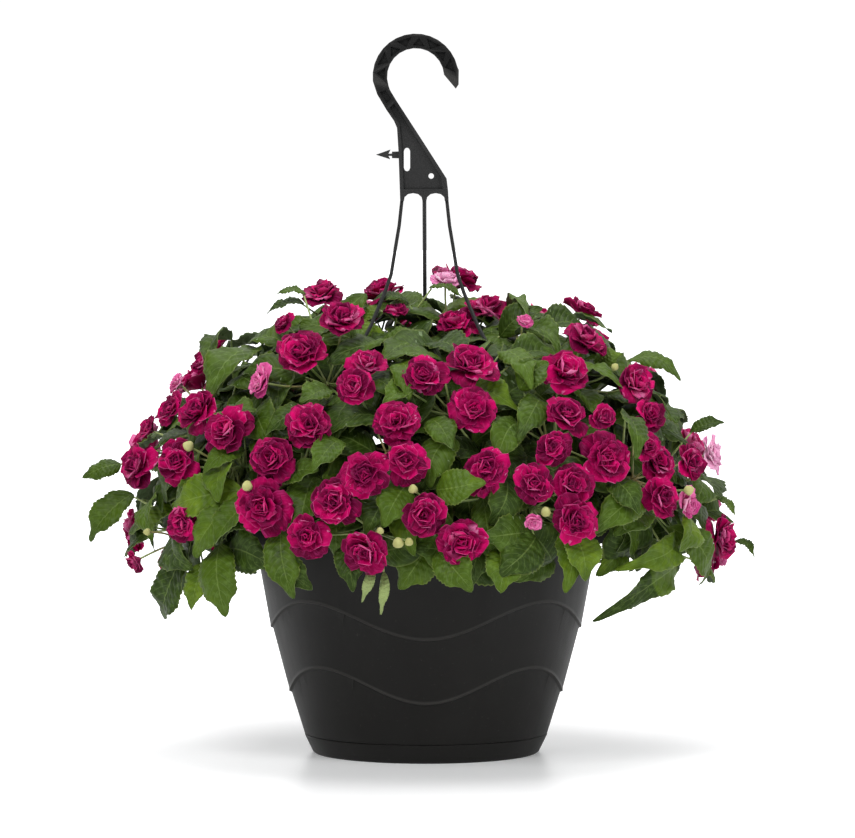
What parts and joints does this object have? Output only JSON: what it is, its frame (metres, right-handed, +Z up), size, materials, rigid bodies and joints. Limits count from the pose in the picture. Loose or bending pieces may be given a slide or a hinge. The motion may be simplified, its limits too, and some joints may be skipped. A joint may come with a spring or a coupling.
{
  "type": "busy lizzie",
  "caption": "Double-flowered busy lizzie with rose-like magenta blooms, growing in a charcoal hanging pot with a saucer and a hooked plastic hanger.",
  "frame": {"origin": "centre of the saucer's underside, where the pot stands", "axes": "+Z up along the pot's axis, -Y towards the front, so the hook's flat plate faces -Y and its open side is on +X"},
  "size_m": [0.5375, 0.4671, 0.5741],
  "materials": {
    "charcoal_plastic": "satin, fine moulded grain",
    "black_plastic": "satin",
    "compost": "loose, fibrous",
    "leaf_green": "satin, veined",
    "magenta_petals": "velvety"
  },
  "bodies": {
    "root": {"pot": "charcoal_plastic", "saucer": "charcoal_plastic", "hanger": "black_plastic", "potting_soil": "compost", "shoot_01": "leaf_green", "shoot_02": "leaf_green", "shoot_03": "leaf_green", "shoot_04": "leaf_green", "shoot_05": "leaf_green", "shoot_06": "leaf_green", "shoot_07": "leaf_green", "shoot_08": "leaf_green", "shoot_09": "leaf_green", "shoot_10": "leaf_green", "shoot_11": "leaf_green", "shoot_12": "leaf_green", "shoot_13": "leaf_green", "shoot_14": "leaf_green", "shoot_15": "leaf_green", "shoot_16": "leaf_green", "shoot_17": "leaf_green", "shoot_18": "leaf_green", "blooms_01": "magenta_petals", "blooms_02": "magenta_petals", "blooms_03": "magenta_petals", "blooms_04": "magenta_petals", "blooms_05": "magenta_petals", "blooms_06": "magenta_petals", "blooms_07": "magenta_petals", "blooms_08": "magenta_petals", "blooms_09": "magenta_petals", "blooms_10": "magenta_petals", "blooms_11": "magenta_petals", "blooms_12": "magenta_petals", "blooms_13": "magenta_petals", "blooms_14": "magenta_petals", "blooms_15": "magenta_petals", "blooms_16": "magenta_petals", "blooms_17": "magenta_petals", "blooms_18": "magenta_petals", "blooms_19": "magenta_petals", "blooms_20": "magenta_petals", "blooms_21": "magenta_petals", "blooms_22": "magenta_petals", "blooms_23": "magenta_petals", "blooms_24": "magenta_petals", "blooms_25": "magenta_petals", "blooms_26": "magenta_petals", "blooms_27": "magenta_petals", "blooms_28": "magenta_petals", "blooms_29": "magenta_petals", "blooms_30": "magenta_petals", "blooms_31": "magenta_petals", "blooms_32": "magenta_petals", "blooms_33": "magenta_petals", "blooms_34": "magenta_petals", "blooms_35": "magenta_petals", "blooms_36": "magenta_petals"}
  },
  "joints": []
}
